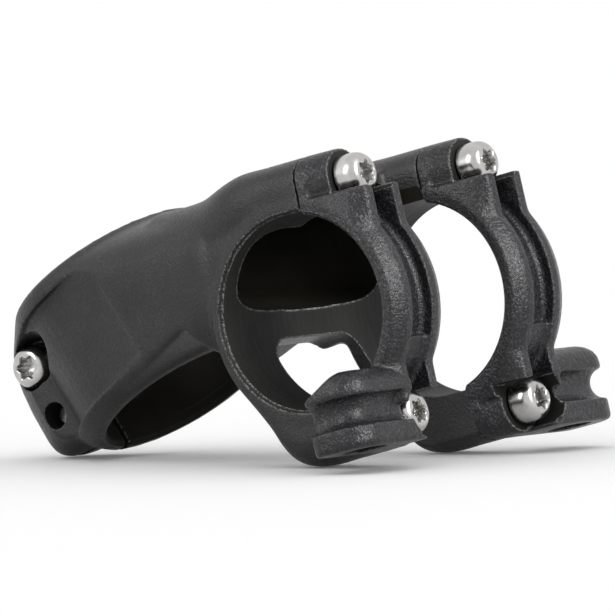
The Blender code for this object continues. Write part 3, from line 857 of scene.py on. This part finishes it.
def black_skin(name, dark, light, rough, grain, grain_and_glint_scale):
    """Satin black anodising over a blasted forging, with its grain in the bump; bright flecks in the colour
    are painted glints, and the edges carry a painted highlight.
    """
    material, tree, shader, where = new_material(name)
    fine = noise(tree, where, grain_and_glint_scale, 2, 0.6)
    coarse = noise(tree, where, 0.45 * grain_and_glint_scale, 2)
    cloud = noise(tree, where, 150, 3)
    edge, normal = edge_mask(tree, 0.4 * MM, 0.90, 0.99)
    height = add_node(tree, "ShaderNodeMath", {0: fine, 1: coarse}, operation="ADD").outputs["Value"]
    sizes = {"Strength": grain, "Distance": 0.2 * MM, "Height": height, "Normal": normal}
    bump = add_node(tree, "ShaderNodeBump", sizes)
    # Bright flecks mixed into the base colour are painted glints, standing in for the grain catching the
    # light.
    painted_glints = product(tree, spread(tree, fine, 0.0, 1.0, 0.5, 0.7), spread(tree, cloud, 0.3, 1.0))
    base = mix_colors(tree, spread(tree, cloud, 0, 1), dark, light)
    with_painted_glints = mix_colors(tree, painted_glints, base, [7 * c for c in light])
    # Edges are lightened in the base colour: a painted highlight along every edge.
    painted_edge_sheen = product(tree, edge, spread(tree, fine, 0.0, 1.0, 0.4, 0.65))
    color = mix_colors(tree, painted_edge_sheen, with_painted_glints, [16 * c for c in light])
    tree.links.new(color, shader.inputs["Base Color"])
    tree.links.new(spread(tree, coarse, rough - 0.06, rough + 0.1), shader.inputs["Roughness"])
    tree.links.new(bump.outputs["Normal"], shader.inputs["Normal"])
    shader.inputs["Specular IOR Level"].default_value = 0.36
    return material


def machined_black(name, base, gloss, painted_edge_sheen_color):
    """Bored and faced surfaces under the anodising, with fine tool marks, and a painted highlight along the
    edges.
    """
    material, tree, shader, where = new_material(name)
    stretch = add_node(tree, "ShaderNodeMapping", {"Vector": where, "Scale": (4000, 300, 300)})
    lines = noise(tree, stretch.outputs["Vector"], 1.0, 2)
    cloud = noise(tree, where, 220, 3)
    grain = noise(tree, where, 3000, 2)
    edge, normal = edge_mask(tree, 0.6 * MM, 0.90, 0.985)
    sizes = {"Strength": 0.25, "Distance": 0.04 * MM, "Height": lines, "Normal": normal}
    bump = add_node(tree, "ShaderNodeBump", sizes)
    color = mix_colors(tree, spread(tree, cloud, 0, 1), base, [1.5 * c for c in base])
    # Edges are mixed towards a lighter colour: a painted highlight along every edge.
    painted_edge_sheen = product(tree, edge, spread(tree, grain, 0.0, 1.0, 0.42, 0.6))
    tree.links.new(mix_colors(tree, painted_edge_sheen, color, painted_edge_sheen_color), shader.inputs["Base Color"])
    tree.links.new(spread(tree, lines, 0.5, 0.66), shader.inputs["Roughness"])
    tree.links.new(bump.outputs["Normal"], shader.inputs["Normal"])
    shader.inputs["Specular IOR Level"].default_value = gloss
    return material


def polished_steel(name):
    """Stainless screws: polished, with faint turning marks, a little haze and a painted highlight along the
    edges.
    """
    material, tree, shader, where = new_material(name)
    fine = noise(tree, where, 2600, 2)
    cloud = noise(tree, where, 500, 3)
    edge, normal = edge_mask(tree, 0.2 * MM, 0.85, 0.99)
    sizes = {"Strength": 0.05, "Distance": 0.02 * MM, "Height": fine, "Normal": normal}
    bump = add_node(tree, "ShaderNodeBump", sizes)
    base = mix_colors(tree, spread(tree, cloud, 0, 1), (0.42, 0.415, 0.405), (0.56, 0.55, 0.54))
    # Edges are mixed towards a lighter steel: a painted highlight.
    tree.links.new(mix_colors(tree, edge, base, (0.70, 0.69, 0.68)), shader.inputs["Base Color"])
    tree.links.new(spread(tree, cloud, 0.16, 0.27), shader.inputs["Roughness"])
    tree.links.new(bump.outputs["Normal"], shader.inputs["Normal"])
    shader.inputs["Metallic"].default_value = 1.0
    return material


def studio_floor(name):
    """A plain pale sweep with barely visible unevenness."""
    material, tree, shader, where = new_material(name)
    cloud = noise(tree, where, 3, 3)
    color = mix_colors(tree, spread(tree, cloud, 0, 1), (0.93, 0.93, 0.93), (0.95, 0.95, 0.95))
    tree.links.new(color, shader.inputs["Base Color"])
    shader.inputs["Roughness"].default_value = 0.9
    shader.inputs["Emission Color"].default_value = (1.0, 1.0, 1.0, 1.0)
    shader.inputs["Emission Strength"].default_value = 0.06
    return material


# ---------------------------------------------------------------- stage

def make_floor():
    mesh = bmesh.new()
    bmesh.ops.create_grid(mesh, x_segments=8, y_segments=8, size=14.0)
    data = bpy.data.meshes.new("studio_floor")
    mesh.to_mesh(data)
    mesh.free()
    floor = add_object("studio_floor", data)
    data.materials.append(studio_floor("pale_floor"))


def area_light(name, location, target, size, power, lit):
    lamp = bpy.data.lights.new(name, "AREA")
    lamp.shape = "RECTANGLE"
    lamp.size, lamp.size_y = size
    lamp.energy = power
    item = add_object(name, lamp)
    item.location = location
    item.rotation_euler = (Vector(target) - Vector(location)).to_track_quat("-Z", "Y").to_euler()
    item.light_linking.receiver_collection = lit


def make_light(pieces):
    """An even white room, and two softboxes that light the stem but not the floor."""
    lit = bpy.data.collections.new("lit_by_softboxes")
    for piece in pieces:
        lit.objects.link(piece)
    world = bpy.data.worlds.new("studio")
    bpy.context.scene.world = world
    world.use_nodes = True
    tree = world.node_tree
    background = tree.nodes["Background"]
    background.inputs["Color"].default_value = (1.0, 1.0, 1.0, 1.0)
    area_light("key", (-0.12, -0.95, 0.62), (0, 0, 0.03), (0.3, 0.6), 17, lit)
    area_light("side", (-1.0, 0.42, 0.55), (0, 0, 0.03), (0.3, 0.6), 7, lit)
    bpy.context.scene.view_settings.view_transform = "Standard"


def make_camera():
    camera = bpy.data.cameras.new("camera")
    camera.sensor_width = 36
    camera.lens = 1034.86
    camera.clip_end = 100
    item = add_object("camera", camera)
    item.location = (-2.3262889, -1.704923, 0.1678213)
    item.rotation_euler = [math.radians(angle) for angle in (87.152264, 1.863467, -54.026906)]
    bpy.context.scene.camera = item


# ---------------------------------------------------------------- assembly

def mount(piece, node):
    """Hands a finished piece to the CAD body that it stands for."""
    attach(piece, "body" if node == "stem_body" else node)
    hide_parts(node)
    return piece


def corners(bounds):
    return [[float(value) for value in corner] for corner in bounds]


def main():
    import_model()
    body_tones = (0.0035, 0.0034, 0.0037), (0.0055, 0.0053, 0.0058)
    skin = black_skin("satin_black_body", *body_tones, 0.38, 0.45, 4600)
    cap_tones = (0.004, 0.0039, 0.0045), (0.006, 0.006, 0.007)
    cap_skin = black_skin("satin_black_faceplate", *cap_tones, 0.33, 0.8, 2600)
    # The last colour of each machined material is its painted edge highlight.
    machined = machined_black("machined_black", (0.004, 0.004, 0.0036), 0.22, (0.34, 0.34, 0.33))
    # A low-gloss copy of the machined black for the hollows and bore, which darkens them: painted shade.
    shaded_inside = machined_black("hollow_black_painted_shade", (0.0062, 0.0058, 0.0042), 0.08, (0.02, 0.02, 0.02))
    steel = polished_steel("polished_screws")

    pieces = [mount(make_body(skin, machined, shaded_inside), "stem_body")]
    for word, side in (("right", -1), ("left", 1)):
        node = "faceplate_" + word
        cap = make_faceplate("forged_" + node, side, cap_skin, machined)
        pieces.append(mount(cap, node))
        for row, level in (("upper", 1), ("lower", -1)):
            node = "faceplate_bolt_" + row + "_" + word
            seat = Vector((side * BOLT_X, -SEAT - SEAT_GAP, level * BOLT_Z))
            turn = Matrix.Rotation(math.radians(17 * (side + 2 * level)), 4, "Z")
            place = screw_place(seat, (0, -1, 0)) @ turn
            pieces.append(mount(make_screw("turned_" + node, CAP_SCREW_LENGTH, steel, place), node))
    for row, height, side in zip(("lower", "upper"), PINCH_HEIGHTS, (1, -1)):
        seat = Vector((side * (PINCH_SEAT + SEAT_GAP), PINCH_BACK, height))
        place = STEERER_FRAME @ screw_place(seat, (side, 0, 0))
        node = "pinch_bolt_" + row
        pieces.append(mount(make_screw("turned_" + node, PINCH_SCREW_LENGTH, steel, place), node))

    make_floor()
    make_light(pieces)
    make_camera()
    bpy.context.view_layer.update()


main()
